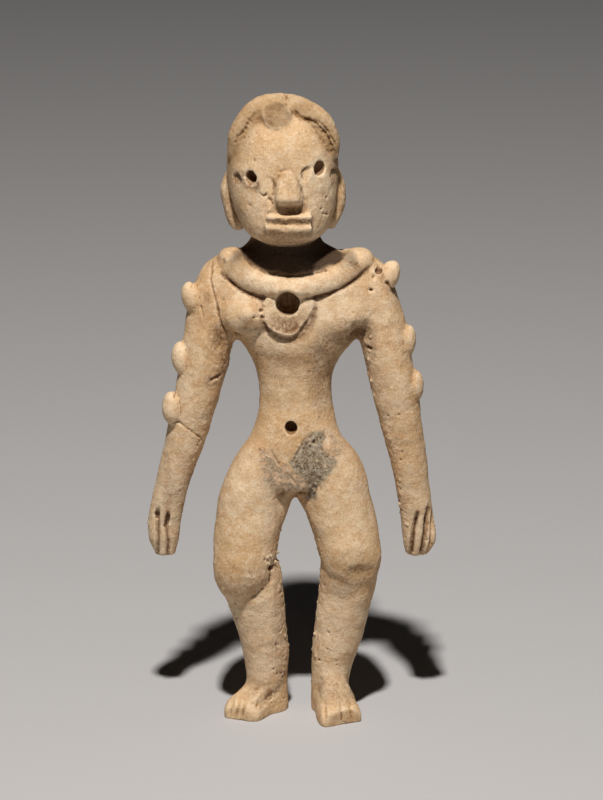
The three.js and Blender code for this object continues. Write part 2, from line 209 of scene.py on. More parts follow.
FEET = {
    'left_foot': [
        (-6.2, 6.8, 2, 4.6, 5), (-8.4, 3, 2.2, 5.2, 6.4), (-11.2, -1, 1.8, 5.7, 6),
        (-13.4, -4.2, 1.4, 5.9, 5.2), (-14.9, -6.8, 1.1, 5.5, 4), (-15.5, -8.1, 1, 3.9, 3),
    ],
    'right_foot': [
        (9.9, 6.8, 2, 4.4, 5), (10.9, 3, 2.4, 5.3, 6.6), (12, -2, 2, 5.8, 6.6), (12.6, -6.6, 1.6, 6, 5.6),
        (13.4, -9.8, 1.3, 6.3, 4.4), (14.2, -11.7, 1.1, 5.9, 3.4),
    ],
    'right_instep': [
        (10.9, -1, 17, 1.6, 1.4), (11.3, -2.2, 12, 3, 2.6), (12.2, -5, 7.6, 4.4, 2.8),
        (12.8, -7.6, 4.6, 4.4, 2.4),
    ],
    'left_web': [
        (-3.2, 8.8, 0.5, 2.2, 5.5), (-4.4, 5, 0.5, 2.7, 4.2), (-6.8, 1, 0.4, 2.8, 2.9),
        (-9.4, -3.6, 0.3, 2.2, 2.2),
    ],
}
UPWARDS = (0, 0, 1)
for name, stations in FEET.items():
    soft_clay.append(roll_clay(name, stations, sides=28, turns=16, square=2.4, facing=UPWARDS))

# The arms: one long roll each, laid against the shoulder and hanging free of the body.
# The hand is only the end of the roll, pressed flat.

ARMS = {
    'left_arm': [
        (-15.8, 1.4, 133.2, 5, 4.6), (-18.9, 1.2, 129, 6.6, 6.6), (-21.3, 0.6, 120, 7.6, 7),
        (-21.9, 0.4, 113.5, 8.1, 6.9), (-23.7, 0.2, 108, 7.1, 6.8), (-26, 0.2, 96.8, 6.6, 6.4),
        (-29.5, 1, 82.2, 5.8, 5.6), (-33.2, 2, 69.3, 5, 4.8), (-36, 3.2, 57.4, 4.7, 3.8),
        (-36.4, 3.6, 50.5, 4.3, 3.3), (-36, 3.8, 45.6, 2.8, 2.2),
    ],
    'right_arm': [
        (16.2, 1.4, 133.6, 5, 4.6), (19.6, 1.2, 129, 6.8, 6.6), (22.5, 0.6, 119.8, 7.2, 7),
        (23.7, 0.4, 114, 7.7, 6.9), (25.5, 0.2, 108.6, 6.8, 6.8), (27.9, 0.1, 96.9, 6.6, 6.4),
        (30.8, 0.9, 82.3, 5.7, 5.6), (33.2, 1.6, 69.7, 4.9, 4.8), (35, 2.4, 57, 4.7, 3.8),
        (35.5, 2.8, 50.1, 4.8, 3.3), (34.8, 3, 45.7, 3, 2.2),
    ],
}
for name, stations in ARMS.items():
    soft_clay.append(roll_clay(name, stations, sides=28, turns=40))

# The head: a ball of clay drawn out to a muzzle and chin.
# It is set on the stub of the neck, which the trunk's roll runs up into.

HEAD = [
    (-3.1, 2.2, 178, 2.4, 3.2), (-3.1, 1.8, 177, 5.8, 6.8), (-3.1, 1.2, 174.6, 9.8, 10.8),
    (-3, 0.4, 170, 13, 13.8), (-2.9, -0.2, 163, 15, 15.2), (-2.7, -0.7, 155, 15.2, 15.2),
    (-2.3, -1.6, 148, 14, 14.6), (-1.9, -3.2, 142, 11.3, 12.4), (-1.6, -4.6, 138.8, 6.8, 8.4),
]
soft_clay.append(roll_clay('head', HEAD, sides=48, turns=36, square=2.15))

# The chest: a flat pat of clay on each side fills it out under the shoulders, and a smaller one over each
# makes the breasts. All four are thumbed on, the left breast peaked and the right one broad.


def pat_of_clay(name, middle, half_sizes, turn=0):
    """A ball pressed flat: its middle and half sizes in mm."""
    pick()
    bpy.ops.mesh.primitive_uv_sphere_add(segments=32, ring_count=18, radius=1)
    piece = bpy.context.object
    piece.name = name
    edit(piece)
    bpy.ops.transform.resize(value=Vector(half_sizes) * MM)
    if turn:
        bpy.ops.transform.rotate(value=-math.radians(turn), orient_axis='Y', center_override=(0, 0, 0))
    bpy.ops.transform.translate(value=Vector(middle) * MM + OVER_ORIGIN)
    done()
    return piece


for name, middle, half_sizes in [
    ('left_chest', (-10.5, -2.4, 123.4), (10.5, 5.7, 7.2)),
    ('right_chest', (11, -2.4, 123.8), (11.5, 5.7, 7.4)),
    ('left_breast', (-12.4, -5.9, 118.6), (7.2, 4.6, 6.2)),
    ('right_breast', (12.2, -5.8, 117.6), (8.4, 3.4, 7)),
]:
    soft_clay.append(pat_of_clay(name, middle, half_sizes))

# The body: the rolls are pressed together and each joint is wiped with a wet thumb, the hips and the
# shoulders most of all, so that they are one skin of clay.


def join(pieces, name):
    pick(*pieces)
    bpy.ops.object.join()
    whole = bpy.context.object
    whole.name = name
    return whole


def finish_with(piece, kind, **settings):
    """Adds one modifier to a piece and applies it."""
    pick(piece)
    worked = piece.modifiers.new(kind.lower(), kind)
    for setting, value in settings.items():
        setattr(worked, setting, value)
    bpy.ops.object.modifier_apply(modifier=worked.name)


def reskin(piece, grid):
    """One closed skin round all the clay, its points about this many mm apart."""
    finish_with(piece, 'REMESH', mode='VOXEL', voxel_size=grid * MM, adaptivity=0)


def wipe(piece, times, **where):
    """Evens the skin out, all over or where a group of its points is marked."""
    finish_with(piece, 'SMOOTH', factor=0.5, iterations=times, **where)


def points_of(piece):
    """The piece's points in mm, measured as the stations are."""
    flat = np.empty(len(piece.data.vertices) * 3, np.float32)
    piece.data.vertices.foreach_get('co', flat)
    return (flat.reshape(-1, 3).astype(float) - np.array(OVER_ORIGIN)) / MM


def ball(points, middle, reach):
    """1 at the middle of a place and 0 beyond its reach."""
    away = np.linalg.norm((points - np.array(middle)) / np.array(reach), axis=1)
    return np.clip(1 - away, 0, 1) ** 0.5


def mark(piece, name, spots):
    """Marks a group of points, in even steps from the middle of each place out to its reach."""
    points, steps = points_of(piece), 10
    weights = np.max([ball(points, middle, reach) for middle, reach in spots], axis=0)
    group = piece.vertex_groups.new(name=name)
    for step in range(1, steps + 1):
        chosen = np.nonzero(np.round(weights * steps) == step)[0]
        if len(chosen):
            group.add(chosen.tolist(), step / steps, 'REPLACE')


ROUGH_GRID = 0.55
WIPED = [  # the middle of each wiped joint, and how far the wiping reaches
    ((-8, 0, 79), (9, 12, 9)), ((10, 0, 79), (9, 12, 9)), ((0, -8, 73), (12, 8, 9)),
    ((0, 8, 74), (12, 8, 12)), ((-18, 0, 124), (9, 12, 16)), ((19, 0, 124), (9, 12, 16)),
    ((-17, 0, 110), (7, 10, 8)), ((19, 0, 112), (7, 10, 8)), ((-13, -8, 124), (12, 9, 7.5)),
    ((11.8, -8, 118), (12, 9, 11)), ((0, 0, 63), (8, 9, 6)), ((-13, -1, 38), (14, 12, 9)),
    ((16, -3, 40), (15, 14, 12)), ((-8, 0, 8), (11, 11, 6)), ((11, -2, 11), (11, 12, 10)),
]
body = join(soft_clay, 'body')
reskin(body, ROUGH_GRID)
mark(body, 'wiped', WIPED)
wipe(body, 60, vertex_group='wiped')
wipe(body, 6)

# The hair: one long roll laid in an arch over the brow, thin at both ends, its front edge a soft step.
# A round scar beside the parting, on a seat of its own, shows where an ornament came off.

HAIR = [
    (-15.4, -5.2, 160.5, 1.2, 1.2), (-15.8, -6.2, 164.5, 2.1, 2.2), (-14.4, -7.2, 170, 2.7, 2.8),
    (-10.8, -7, 174.9, 3, 2.8), (-6.6, -6.2, 177.2, 2.9, 2.6), (-2.2, -5.6, 176.6, 2.5, 2.4),
    (2.2, -6, 176.2, 3, 2.8), (7.2, -7, 173, 3, 2.9), (10.2, -7, 168, 2.6, 2.6),
    (11.2, -5.8, 162.5, 1.4, 1.4),
]
FORWARDS = (0, -1, 0)
hair = roll_clay('hair', HAIR, sides=20, turns=48, facing=FORWARDS)

SCAR_MIDDLE, SCAR_RADIUS, SCAR_RISE = np.array((-4.2, -10.6, 175.0)), 4.0, math.radians(33)
SEAT_DEPTH, CUT_AWAY = 6, 8  # mm behind the scar's face and in front of it
inwards = np.array((0, math.cos(SCAR_RISE), -math.sin(SCAR_RISE)))


def round_bar(name, start, end, radius):
    stations = [(*start, radius, radius), (*end, radius, radius)]
    return roll_clay(name, stations, sides=40, turns=4, facing=UPWARDS)


scar_seat = round_bar('scar_seat', SCAR_MIDDLE + SEAT_DEPTH * inwards, SCAR_MIDDLE, SCAR_RADIUS)
scar_face = round_bar('scar_face', SCAR_MIDDLE, SCAR_MIDDLE - CUT_AWAY * inwards, SCAR_RADIUS)

# The ears: a curved slip of clay for each, rolled thin at both ends.
# They are pressed on to the sides of the head and stand a little forward.

EARS = {
    'left_ear': [
        (-17, 1.8, 157, 1.2, 1.8), (-17.7, 1.4, 152.5, 2.2, 3.2), (-16.9, 0.8, 147.5, 2.4, 3.2),
        (-15.6, 0, 142.6, 2.1, 2.4), (-15, -0.2, 140.9, 1.2, 1.4),
    ],
    'right_ear': [
        (11.8, 1.8, 157, 1.2, 1.8), (12.4, 1.4, 151.8, 2.2, 3.2), (12, 0.8, 146.8, 2.2, 3.2),
        (10.8, 0, 142.8, 1.7, 2.3), (10.4, -0.2, 141.2, 1, 1.4),
    ],
}
ears = [roll_clay(name, stations, sides=20, turns=20) for name, stations in EARS.items()]

# The nose and lips: a wedge of clay with flat faces, and under it two short bars for the mouth,
# each cut with a tool and pressed on to the muzzle. The front of a lip leans back towards its foot.

NOSE = [
    (-1.2, -14, 162, 1.2, 1.2), (-1.2, -14.4, 159.8, 2.1, 2), (-1.3, -14.9, 157, 3, 3.2),
    (-1.1, -15.2, 153.7, 3.8, 4.6), (-1, -14.4, 151.9, 3.9, 3.6), (-1, -13.2, 150.3, 3.9, 1.9),
    (-1, -12.6, 149, 3.4, 1),
]
UPPER_LIP = [
    (-5.7, -14.5, 147.2, 0.95, 2.5), (-4.4, -15, 147.3, 1.15, 2.6), (-1, -15.2, 147.35, 1.25, 2.6),
    (2.4, -15.1, 147.35, 1.25, 2.6), (4.9, -14.7, 147.3, 1.15, 2.5),
]
LOWER_LIP = [
    (-6.9, -14.4, 143.4, 1.9, 2.8), (-4.2, -14.9, 143.4, 2.05, 2.8), (-1, -15.1, 143.4, 2.1, 2.8),
    (2.4, -15, 143.4, 2.05, 2.8), (4.9, -14.6, 143.4, 1.9, 2.8),
]
nose = roll_clay('nose', NOSE, sides=32, turns=28, square=2.7)
upper_lip = roll_clay('upper_lip', UPPER_LIP, sides=32, turns=24, square=6, facing=FORWARDS)
lower_lip = roll_clay('lower_lip', LOWER_LIP, sides=32, turns=24, square=6, facing=FORWARDS)
LIP_LEAN = 0.55  # mm back for each mm down
for lip, front, top, rise in [(upper_lip, -17.8, 148.6, 0.2), (lower_lip, -17.9, 145.5, 0.4)]:
    for corner in lip.data.vertices:
        place = (corner.co - OVER_ORIGIN) / MM
        corner.co.y += LIP_LEAN * MM * (top - place.z)
        corner.co.z += rise * MM * (place.y - front)

# The collar: a long flattened roll laid round the neck and over both shoulders, dipping at the front.
# Its ends are joined behind, and its lower edge is pressed on to the chest.

COLLAR = [
    (-0.7, -9, 126.5, 2.4, 2.9), (8.2, -7.4, 127.5, 2.5, 3), (14.6, -4.6, 130.1, 3, 3.4),
    (18.4, -0.8, 132.3, 4, 3.4), (14.4, 6.4, 130.8, 3.2, 2.8), (0, 9.8, 129, 2.4, 2.6),
    (-14.4, 6.4, 130.6, 3.2, 2.8), (-16.8, -0.6, 132.2, 4, 3.6), (-14.4, -4.8, 130.2, 3.1, 3.5),
    (-9, -7.4, 127.6, 2.5, 3),
]
collar = roll_clay('collar', COLLAR, sides=24, turns=96, square=2.3, facing=UPWARDS, closed=True)

# The pendant: a flat pat of clay hung by a small bridge under the front of the collar, its foot close
# to the chest. Its right side is pinched straight.

PENDANT = [
    (-0.9, -5.2, 121, 7, 7.2), (-0.9, -9.4, 119.8, 7.6, 7.8), (-0.9, -10.6, 120.2, 7.3, 7.1),
    (-0.9, -11.2, 120.4, 6.7, 6.4),
]
pendant = roll_clay('pendant', PENDANT, sides=48, turns=16, facing=UPWARDS)
PINCH, PINCH_TOP, PINCH_HEIGHT, PINCH_WIDTH = 2.6, 121.8, 5, 6
LEAN, LEAN_TOP = 0.25, 126  # mm back for each mm below the top


def part_way(amount):
    """An amount held between 0 and 1."""
    return min(max(amount, 0), 1)


for corner in pendant.data.vertices:
    place = (corner.co - OVER_ORIGIN) / MM
    down, aside = part_way((PINCH_TOP - place.z) / PINCH_HEIGHT), part_way((place.x + 1) / PINCH_WIDTH)
    corner.co.x -= PINCH * MM * down * aside
    corner.co.y += LEAN * MM * max(LEAN_TOP - place.z, 0)
bridge = pat_of_clay('bridge', (-1, -10.4, 126.0), (4.6, 1.7, 2.4))

# The studs: six pellets of clay, three to each arm.
# They are rolled long and pressed on upright, so that half of each stands proud.

STUD_PROUD, STUD_DEEP, STUD_LONG = 3.0, 3.4, 4.9
STUDS = [
    ((-27.6, -1.6, 121.6), -18), ((-30.6, -1.6, 104.4), -8), ((-33.4, -2, 90.2), -6),
    ((26.2, -1.6, 127.8), 26), ((31.2, -0.6, 109), 8), ((33.4, -0.8, 96.2), 6),
]
studs = [
    pat_of_clay(f'stud_{n}', middle, (STUD_PROUD, STUD_DEEP, STUD_LONG), lean)
    for n, (middle, lean) in enumerate(STUDS)
]

# The holes: with all of it pressed together wet, the pupils, the navel and the hole in the pendant are made
# with a stick. The scar's face is cut level, and the soles are pressed flat on a board.


def hole(mouth, way, across, upright, depth):
    """A rod with a round end that goes in at the mouth."""
    way = np.array(way, float) / np.linalg.norm(way)
    taper = [(-2, 1.1), (-1, 1.06), (0, 1.0), (0.7 * depth, 0.9), (0.93 * depth, 0.62), (depth, 0.2)]
    stations = [(*(np.array(mouth) + way * far), across * part, upright * part) for far, part in taper]
    return roll_clay('hole', stations, sides=24, turns=18, facing=UPWARDS)


HOLES = [  # mouth, way in, half width, half height, depth
    ((-11, -12.6, 158.6), (0.45, 1, 0.25), 1.8, 1.9, 2.7),
    ((7.4, -12, 160.6), (-0.5, 1, 0), 1.95, 2.05, 2.5),
    ((-0.5, -8.2, 86), (0, 1, 0.05), 1.8, 1.95, 5),
    ((-1.6, -11.3, 122.5), (0.1, 1, -0.16), 3.4, 3.5, 7),
]
SEALED = [  # seams pressed shut, given as the wiped joints are
    ((-20, -2, 132), (5, 9, 6)), ((-1, -11.5, 126.8), (7, 5, 3.2)), ((3, -10, 174), (4.5, 4, 3)),
    ((-11.5, -10, 172), (4.5, 4, 4)),
]
SKIN_GRID = 0.34
BOARD, BOARD_THICK = 60, 9  # half its width, and its thickness
face = [nose, upper_lip, lower_lip]
body = join([body, hair, scar_seat, *face, collar, pendant, bridge, *ears, *studs], 'body')
reskin(body, SKIN_GRID)
board = roll_clay('board', [(0, 0, -BOARD_THICK, BOARD, BOARD), (0, 0, 0, BOARD, BOARD)], turns=1)
sticks = join([hole(*place) for place in HOLES] + [scar_face, board], 'sticks')
finish_with(body, 'BOOLEAN', operation='DIFFERENCE', solver='MANIFOLD', object=sticks)
bpy.data.objects.remove(sticks)
reskin(body, SKIN_GRID)
wipe(body, 2)
mark(body, 'sealed', SEALED)
wipe(body, 40, vertex_group='sealed')

# The marks of a thumb and a stick, made while the clay was damp: grooves between the fingers and the toes,
# strokes in the hair, marks round the eyes, and hollows at the knees and the left foot.
# Places are x and z in mm on the front of the figure, or x, y and z anywhere on it.

FRONTWARD, SIDEWARD = -0.1, 0.75  # the y of the way out at the front, and its most at the sides


def take_up(piece):
    """The points of the clay's skin in mm, and the way out of the clay at each."""
    away = np.empty(len(piece.data.vertices) * 3, np.float32)
    piece.data.vertex_normals.foreach_get('vector', away)
    return points_of(piece), away.reshape(-1, 3).astype(float)


def lay_down(piece, points):
    piece.data.vertices.foreach_set('co', (points * MM + np.array(OVER_ORIGIN)).astype(np.float32).ravel())
    piece.data.update()


def mottle(spots, size, seed=0):
    """Blotches of about this size in mm, from -1 to 1; the long numbers only shuffle them."""
    cells = spots / size + 500  # all above zero
    low = np.floor(cells).astype(np.int64)
    part = cells - low
    part = part * part * (3 - 2 * part)
    total = np.zeros(len(spots))
    for corner in np.ndindex(2, 2, 2):
        mixed = ((low + corner) * (73856093, 19349663, 83492791)).sum(axis=1) + seed * 2654435761
        mixed = ((mixed ^ (mixed >> 13)) * 1274126177) & 0x7fffffff
        mixed = ((mixed ^ (mixed >> 15)) * 668265263) & 0x7fffffff
        total += np.where(corner, part, 1 - part).prod(axis=1) * (mixed / 0x3fffffff - 1)
    return total


def near(line, width, side='front', ragged=0):
    """Which points lie within width of a drawn line, how near from 0 to 1, and how far along it."""
    line = np.array(line, float)
    flat = line.shape[1] == 2
    spots = clay[:, [0, 2]] if flat else clay
    chosen = np.all((spots > line.min(0) - width) & (spots < line.max(0) + width), axis=1)
    if flat:
        chosen &= skin[:, 1] < FRONTWARD if side == 'front' else np.abs(skin[:, 1]) < SIDEWARD
    chosen = np.nonzero(chosen)[0]
    gap, along, gone = np.full(len(chosen), np.inf), np.zeros(len(chosen)), 0
    for start, end in zip(line, line[1:]):
        run, length = end - start, np.linalg.norm(end - start)
        t = np.clip((spots[chosen] - start) @ run / length ** 2, 0, 1)
        this = np.linalg.norm(spots[chosen] - start - t[:, None] * run, axis=1)
        along = np.where(this < gap, gone + t * length, along)
        gap = np.minimum(gap, this)
        gone += length
    if ragged:
        gap = gap + ragged * width * mottle(clay[chosen], 0.9, 5)
    close = np.clip(1 - gap / width, 0, 1)
    kept = close > 0
    return chosen[kept], close[kept], along[kept] / gone


def push_in(chosen, depth):
    clay[chosen] -= skin[chosen] * np.asarray(depth)[:, None]


def score(line, width, depth, taper=0.12, side='front', ragged=0):
    """A groove drawn along a line, running out at both ends to a quarter of its depth."""
    chosen, close, along = near(line, width, side, ragged)
    ends = np.clip(np.minimum(along, 1 - along) / taper, 0, 1)
    push_in(chosen, depth * close ** 1.2 * (0.25 + 0.75 * ends))


def thumb(middle, reach, depth):
    """A soft dent, or a soft swelling where depth is less than nothing."""
    reach = np.ones(3) * reach
    chosen = np.nonzero(np.all(np.abs(clay - middle) < reach, axis=1))[0]
    away = np.linalg.norm((clay[chosen] - middle) / reach, axis=1)
    push_in(chosen, depth * np.clip(1 - away ** 2, 0, 1) ** 2)


def stamp(middle, radius, depth, deepest, fade=0.6):
    """The mark of a stick's end held aslant: a round dent, deepest towards one side, given in degrees."""
    spots = clay[:, [0, 2]] - np.array(middle)
    away = np.hypot(*(spots / np.array(radius)).T)
    chosen = np.nonzero((away < 1) & (skin[:, 1] < FRONTWARD))[0]
    deepest, steep = math.radians(deepest), 4
    slope = spots[chosen] @ (math.cos(deepest), math.sin(deepest)) / max(radius)
    rim = np.clip((1 - away[chosen]) * steep, 0, 1)
    push_in(chosen, depth * rim * np.clip(1 - fade + fade * slope, 0, 1))


clay, skin = take_up(body)

# between the fingers
for line, width, depth in [
    ([(-37.6, 61), (-38.1, 58.4), (-38, 51.6), (-38.4, 44.4)], 0.9, 1),
    ([(-35, 60), (-35.6, 55), (-34.9, 50), (-35.4, 44.4)], 0.9, 1),
    ([(35, 59.8), (33.9, 54.4), (33.1, 46.9), (32.7, 43.6)], 0.9, 1.6),
    ([(38, 60.5), (37.3, 54.3), (36.4, 47.9), (36, 43.6)], 1, 1.8),
    ([(39.5, 59.4), (39.3, 53.8), (38.9, 49.2), (37.5, 45.6)], 0.8, 1.1),
]:
    score(line, width, depth)

# between the toes
for line in [
    [(-16.6, 6), (-17.6, 3.2), (-18.1, 0.3)], [(-15, 6.2), (-15.8, 3.2), (-16.3, 0.3)],
    [(-13.2, 6), (-14.2, 3), (-14.7, 0.3)], [(9, 6), (9.2, 3), (9.3, 0.3)],
    [(13.2, 6.6), (13.8, 3.4), (14, 0.3)], [(15.9, 6.4), (16.5, 3.4), (16.8, 0.3)],
]:
    score(line, 0.8, 0.6, taper=0.4)

# round the eyes, a thin line across the bridge of the nose, and the two partings beside the roll of hair
stamp((-6.8, 157.2), (2.3, 2.3), 0.35, 30, 0.8)
stamp((4.4, 159.4), (2.4, 2.6), 0.9, 155, 0.8)
stamp((-15.1, 157.3), (1.3, 1.9), 1.2, 60, 0.4)
stamp((11.4, 157.5), (1.2, 2.3), 0.9, 100)
score([(-3.7, 160.5), (-2.1, 161.1), (-0.2, 161), (0.6, 160.2)], 0.5, 0.3)
RIGHT_PARTING = [(0.1, 175.5), (2.8, 173.9), (5.2, 173.3), (7.4, 171.7), (9.6, 168.6), (11.2, 164.4)]
LEFT_PARTING = [(-9.4, 176.3), (-11.0, 173.8), (-12.3, 171.6), (-14.3, 169.4), (-15.1, 167.4)]
score(RIGHT_PARTING, 0.75, 0.9, ragged=0.6)
score([(6.4, 173.6), (9, 171.4), (11, 168.2), (12, 165.4)], 0.45, 0.4, ragged=0.6)
score([(7.6, 172.8), (9.8, 170.2), (11.4, 166.8)], 0.45, 0.4, ragged=0.6)
score([(4.2, 172.8), (7.4, 170.6), (9.6, 167.4), (10.6, 164.2)], 0.4, 0.25, ragged=0.6)
score(LEFT_PARTING, 0.8, 0.35, ragged=0.5)
score([(-13.2, 170.2), (-14.8, 169), (-15.6, 167)], 0.5, 0.3, ragged=0.6)

# short strokes across the edge of the hair, first on the right and then on the left
for n in range(8):
    x, z = 6.0 + 0.7 * n, 174.0 - 0.2 * n - 0.1 * n * n
    score([(x, z), (x - 1.0, z - 1.4)], 0.35, 0.25)
for n in range(5):
    x, z = -14.2 + 0.5 * n, 169.6 + 1.1 * n
    score([(x, z), (x + 1.2, z - 1.0)], 0.4, 0.25)

# the notch where the hair parts on the crown, and the strokes across the scar
NOTCH_X, NOTCH_FOOT, NOTCH_BACK = -1.7, 176.6, 9  # its middle, its lowest and its furthest back
NOTCH_WIDE, NOTCH_RISE, NOTCH_FADE, NOTCH_DEEP = 1.3, 1.6, 4, 0.8
notch = np.clip(1 - np.abs(clay[:, 0] - NOTCH_X) / NOTCH_WIDE, 0, 1)
notch *= np.clip((clay[:, 2] - NOTCH_FOOT) / NOTCH_RISE, 0, 1)
clay[:, 2] -= NOTCH_DEEP * notch * np.clip((NOTCH_BACK - clay[:, 1]) / NOTCH_FADE, 0, 1)
for n, z in enumerate([172.4, 173.4, 174.4, 175.3, 176.2, 177.1]):
    bend, short = 0.5 * math.sin(2 * n), abs(n - 2.5)
    stroke = [(-7.4 + short * 0.4, z + 0.4), (-5.0, z - bend), (-2.6, z + bend), (-1.0 - short * 0.3, z)]
    score(stroke, 0.5, 0.2, ragged=0.6)

# under the left knee, below the right kneecap, and along the left instep
score([(-6.6, 41.4), (-8, 39.2), (-10, 37.2), (-12.4, 36)], 2.4, 0.4)
thumb((13.5, -9.5, 39.6), (8, 5, 4), -0.6)
thumb((18.6, -9.4, 44.4), (6, 5, 3.6), 1.2)
thumb((14, -11, 50.5), (7, 6, 6), -0.5)
score([(-3, 1, 10), (-5, -2, 7.2), (-8, -4.6, 4.9), (-10.6, -8, 4.4)], 1.9, 0.8)
score([(-4, -1.8, 11.6), (-7, -2.2, 8), (-9.9, -4, 6.4), (-11.4, -7.5, 4.9)], 1.4, -0.7)

# the chest below the pendant, the peak of the left breast and the side of the right one
thumb((-1, -8.5, 109.5), (10, 6, 7), -1)
thumb((-12.3, -10.4, 119.4), 3, -0.7)
thumb((14.5, -7.5, 111), (7, 5, 4), 0.5)

# the pits of the arms, and the edge of the collar pressed down on to the chest
thumb((17.8, -6, 113.2), (5, 6, 5), 1.5)
thumb((-19.6, -6, 111), (3.6, 6, 5), 1)
COLLAR_EDGES = [
    [(-19.4, 129.5), (-17, 127.4), (-14.4, 125.5), (-8.4, 123.2)],
    [(3.9, 123.3), (10.2, 124.7), (14, 126.2), (17.1, 128.1), (20.6, 131)],
]
for edge in COLLAR_EDGES:
    score(edge, 0.9, 0.6, taper=0.3)

# a stick drawn down each stud
for x, z in [(-28, 123.4), (-30.9, 105.7), (-33, 92.1)]:
    score([(x + 0.3, z + 3.2), (x - 0.2, z), (x + 0.2, z - 3.4)], 0.6, 0.35, side='edge')
lay_down(body, clay)

# The grain: the clay is lumpy where it was pressed by hand, and the grit in it shows as a fine grain that
# wear has opened, most of all along the arms, under the arms and down the insides of the legs.

COARSE = [  # the middle of each rough place, and how far it reaches
    ((-20, -3, 108), (6, 12, 16)), ((21, -3, 111), (7, 12, 12)), ((-26, 0, 80), (4, 9, 26)),
    ((27, 0, 78), (4, 9, 26)), ((-8, -2, 42), (9, 12, 12)), ((-4, 0, 22), (6, 9, 22)),
    ((8, 0, 24), (5, 9, 24)), ((-21, 0, 48), (4, 9, 10)), ((7, 0, 50), (4, 9, 10)), ((2, -8, 74), (9, 6, 9)),
    ((9, -9, 170), (5, 7, 8)), ((-16, -3, 32), (4, 8, 8)),
]
LUMPS, GRIT, GRAIN, OPENED = (6.5, 0.55), (1.7, 0.16), (0.8, 0.16), (1.1, 0.4)  # size and height


def press_into(piece, size, height, **where):
    """Raises and sinks the skin in a cloudy pattern of this size."""
    pattern = bpy.data.textures.new('clay_pattern', 'CLOUDS')
    pattern.noise_scale = size * MM
    pattern.noise_depth = 1
    finish_with(piece, 'DISPLACE', texture=pattern, texture_coords='LOCAL', mid_level=0.5,
                strength=height * MM, **where)


mark(body, 'coarse', COARSE)
for coat in (LUMPS, GRIT, GRAIN):
    press_into(body, *coat)
press_into(body, *OPENED, vertex_group='coarse')

# Wear: pits where grit fell out, crumbs along the rough edges, chips, and long cracks from drying.
# A crack runs round the left shoulder, and another where the left forearm was once broken.

clay, skin = take_up(body)
luck = np.random.default_rng(11)
SMALL_PITS = 260


def pit(x, z, radius=0.45, depth=0.32):
    chosen = np.nonzero((np.hypot(clay[:, 0] - x, clay[:, 2] - z) < radius) & (skin[:, 1] < FRONTWARD))[0]
    away = np.hypot(clay[chosen, 0] - x, clay[chosen, 2] - z) / radius
    push_in(chosen, depth * np.clip(1 - away ** 2, 0, 1))


def crumbs(line, count, height, side='edge', width=1.3):
    """Small lumps and pits scattered along a line."""
    for spot in luck.choice(near(line, width, side)[0], count):
        thumb(clay[spot].copy(), luck.uniform(0.4, 0.9), luck.uniform(-1, 0.7) * height)


for spot in luck.integers(len(clay), size=SMALL_PITS):
    thumb(clay[spot].copy(), luck.uniform(0.35, 0.8), luck.uniform(0.05, 0.2))
for x, z, radius, depth in [
    (23.6, 130, 1, 1.3), (22.2, 128.6, 0.7, 0.5), (25.9, 126.8, 0.8, 0.9), (21.5, 125.1, 0.6, 0.7),
    (16.6, 119.5, 0.4, 0.4), (-10.6, 118.4, 0.45, 0.4), (-9.5, 118.6, 0.4, 0.4), (-6.1, 44.8, 0.9, 1.2),
    (-4.2, 152, 0.5, 0.4), (-11.6, 150.8, 0.8, 0.3), (5.9, 82.1, 0.6, 0.5), (3.1, 80.3, 0.5, 0.4),
    (4.8, 80.8, 0.5, 0.4), (-8.7, 120.2, 0.7, 0.8), (-8.4, 118.3, 0.7, 0.8),
]:
    pit(x, z, radius, depth)
for x, z in [
    (29.7, 63.9), (29.7, 62.3), (30.4, 59.6), (30.1, 75.6), (30.4, 78), (29.4, 89.3), (26.4, 88.7),
    (37.7, 51.1), (-3.4, 36.6), (-2.8, 34.9), (7.5, 40.4), (8.7, 39.3), (7.5, 38.2), (-5.4, 13.9),
    (-4.5, 12.2), (-3.4, 12.2), (-2.9, 10.7), (7.4, 16.4), (12.2, 16.7), (12.4, 15.4), (-6.3, 4.8),
    (-6, 3.6), (-2.3, 3.9), (-10.2, 4.3), (-11.3, 5.1), (-16.3, 34.2), (-27.3, 73), (-29, 70.6), (-31.5, 66),
    (7.7, 149.5), (9.2, 152.4), (-9.2, 79.5), (10, 25.3), (9.6, 20.3),
]:
    pit(x, z)
for line, count, height in [
    ([(-20.6, 111), (-17.9, 107.4), (-17.7, 103.3), (-19.6, 101.1), (-22.4, 99.3)], 26, 0.5),
    ([(-22.4, 99.3), (-24.5, 88), (-27.3, 76.4), (-28.6, 68), (-30.4, 60)], 34, 0.45),
    ([(17.4, 115.6), (20.2, 112.5), (21.6, 108.4), (21.4, 104.7), (22.8, 96)], 30, 0.6),
    ([(22.8, 96), (26, 84), (29.7, 66), (30.8, 58)], 18, 0.35),
    ([(-4.6, 55), (-4.2, 46), (-3, 38), (-2.6, 24), (-1.6, 12)], 80, 0.4),
    ([(6.7, 54), (6.9, 47.8), (6.6, 36), (5.2, 20), (5, 8)], 70, 0.4),
    ([(-21.6, 55), (-21.6, 47), (-19.8, 40), (-16.8, 30)], 18, 0.25),
    ([(-31.6, 84), (-34.6, 74), (-37.6, 64), (-40.6, 52)], 14, 0.25),
    ([(35.2, 84), (37.6, 70), (39.6, 60), (39.6, 50)], 14, 0.25),
]:
    crumbs(line, count, height)
for line, count, height in [
    ([(-7.4, 46.6), (-6, 46.8), (-4.4, 46.4)], 10, 0.9),
    ([(-6.4, 148), (-4.6, 146.9), (-2.4, 146.8)], 14, 0.6), ([(-6, 143.4), (5, 143.4)], 10, 0.3),
    ([(-6, 76), (-2, 72), (0, 68), (3.6, 66.5)], 40, 0.35),
    ([(4, 82), (7, 76), (6, 69)], 60, 0.35),
    ([(29.6, 66), (30.2, 58), (30.8, 51)], 14, 0.5),
]:
    crumbs(line, count, height, side='front', width=2.2)

